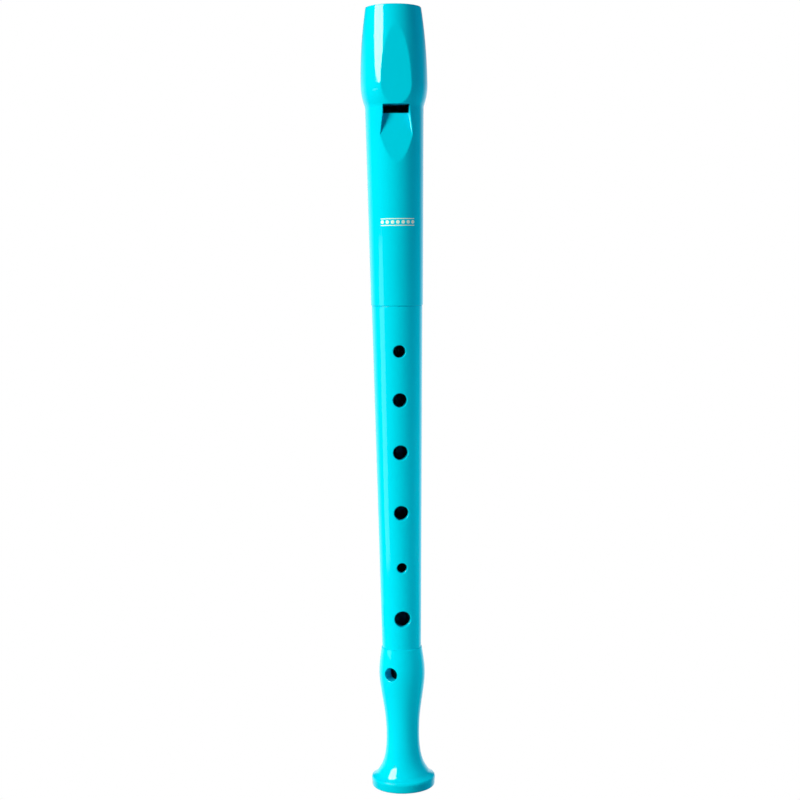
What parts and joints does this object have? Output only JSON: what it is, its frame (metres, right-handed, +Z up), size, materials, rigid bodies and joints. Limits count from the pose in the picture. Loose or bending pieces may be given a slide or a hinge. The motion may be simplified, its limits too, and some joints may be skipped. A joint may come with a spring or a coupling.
{
  "type": "soprano recorder",
  "caption": "Two-piece moulded plastic soprano recorder with finger holes, a beak mouthpiece and a bell foot; the head pulls off its tenon.",
  "frame": {"origin": "centre of the foot's flat base, on the bore's axis; the recorder stands on it", "axes": "+Z up the bore from the foot to the mouthpiece, -Y the front with the window and finger holes, +X to the right as seen from the front, which is the player's left"},
  "size_m": [0.0274, 0.027, 0.3256],
  "materials": {
    "cyan_plastic": "moulded, high gloss",
    "white_ink": "printed ink, for the small mark on the head"
  },
  "bodies": {
    "body": {"body_joint": "cyan_plastic"},
    "head": {"head_joint": "cyan_plastic", "windway_block": "cyan_plastic"}
  },
  "joints": [
    {"name": "head_pull", "type": "slide", "parent": "body", "child": "head", "axis": [0, 0, 1], "range_m": [0, 0.028]}
  ]
}
